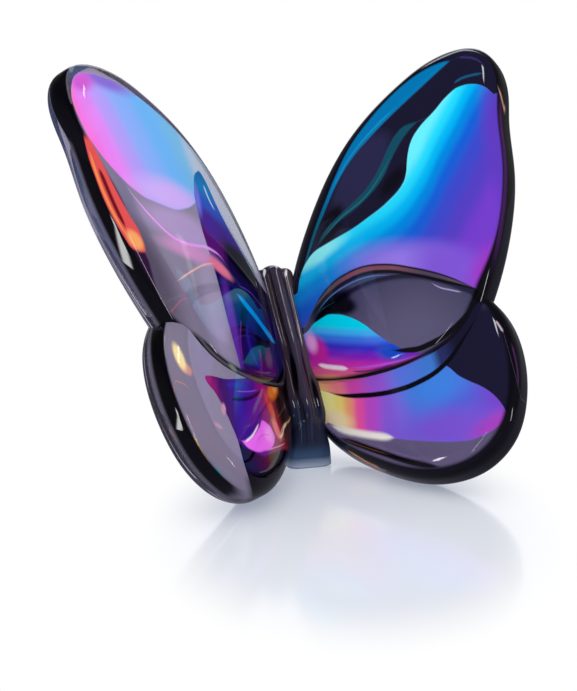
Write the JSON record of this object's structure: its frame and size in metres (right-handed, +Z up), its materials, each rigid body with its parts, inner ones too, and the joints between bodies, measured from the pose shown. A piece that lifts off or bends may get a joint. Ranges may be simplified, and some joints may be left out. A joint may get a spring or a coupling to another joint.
{
  "type": "butterfly ornament",
  "caption": "Free-standing solid glass butterfly with thick, round-rimmed, lustre-coated wing lobes, standing on its foot and the lower rims of its hindwings.",
  "frame": {"origin": "middle of the flat underside of the foot, on the surface that the ornament stands on", "axes": "+Z up, -Y the way that the butterfly faces, +X to the right of a person who looks at its front"},
  "size_m": [0.0748, 0.0481, 0.0633],
  "materials": {
    "body_glass": "polished smoky violet crystal",
    "forewing_glass": "polished smoky crystal under a thin metallic lustre, cyan and blue to violet",
    "hindwing_glass": "polished smoky crystal under a thin metallic lustre, violet and magenta to gold"
  },
  "bodies": {
    "root": {"foot": "body_glass", "abdomen": "body_glass", "thorax": "body_glass", "head": "body_glass", "right_forewing": "forewing_glass", "left_forewing": "forewing_glass", "right_hindwing": "hindwing_glass", "left_hindwing": "hindwing_glass"}
  },
  "joints": []
}
